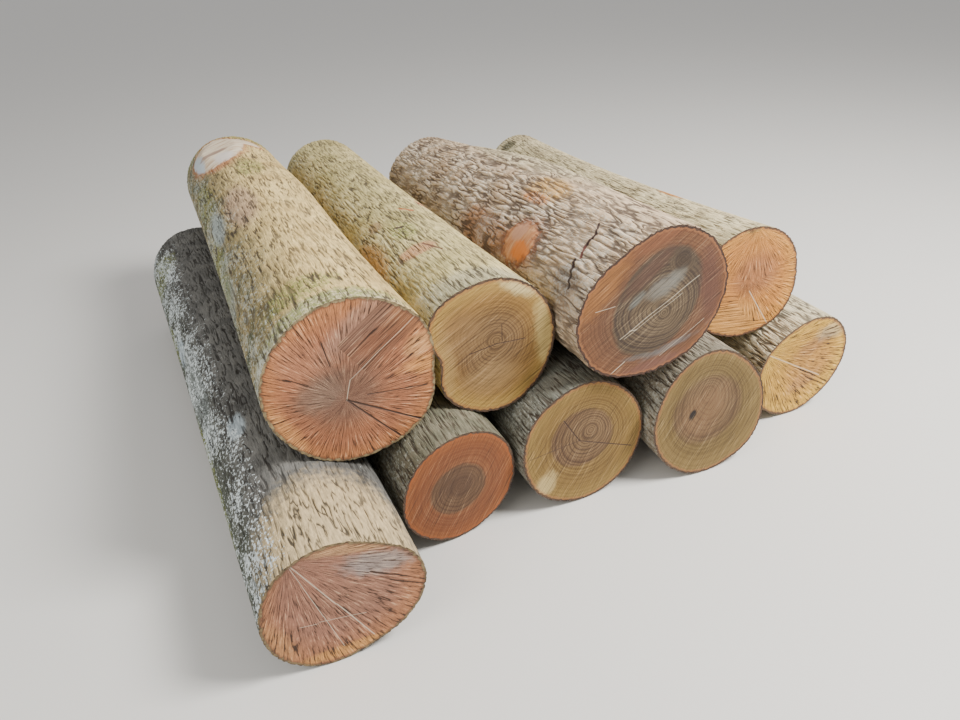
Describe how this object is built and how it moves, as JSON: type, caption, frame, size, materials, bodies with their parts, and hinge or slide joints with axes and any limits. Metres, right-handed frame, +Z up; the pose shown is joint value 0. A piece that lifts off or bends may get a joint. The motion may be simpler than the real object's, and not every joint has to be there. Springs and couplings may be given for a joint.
{
  "type": "heap of logs",
  "caption": "Heap of sawn hardwood logs in two courses, the upper ones lying in the valleys of the lower, with rough bark and saw-cut ends.",
  "frame": {"origin": "on the ground, under the middle of the heap's bounding box", "axes": "+Y along the logs from their front ends to their back ends, +X to the right as seen from the front, +Z up"},
  "size_m": [2.3764, 2.3718, 0.8574],
  "materials": {
    "lower_log_1": "rough fissured bark with sawn ends",
    "lower_log_2": "rough fissured bark with sawn ends",
    "lower_log_3": "rough fissured bark with sawn ends",
    "lower_log_4": "rough fissured bark with sawn ends",
    "lower_log_5": "rough fissured bark with sawn ends",
    "upper_log_1": "rough fissured bark with sawn ends",
    "upper_log_2": "rough fissured bark with sawn ends",
    "upper_log_3": "rough fissured bark with sawn ends",
    "upper_log_4": "rough fissured bark with sawn ends"
  },
  "bodies": {
    "root": {"lower_log_1": "lower_log_1", "lower_log_2": "lower_log_2", "lower_log_3": "lower_log_3", "lower_log_4": "lower_log_4", "lower_log_5": "lower_log_5", "upper_log_1": "upper_log_1", "upper_log_2": "upper_log_2", "upper_log_3": "upper_log_3", "upper_log_4": "upper_log_4"}
  },
  "joints": []
}
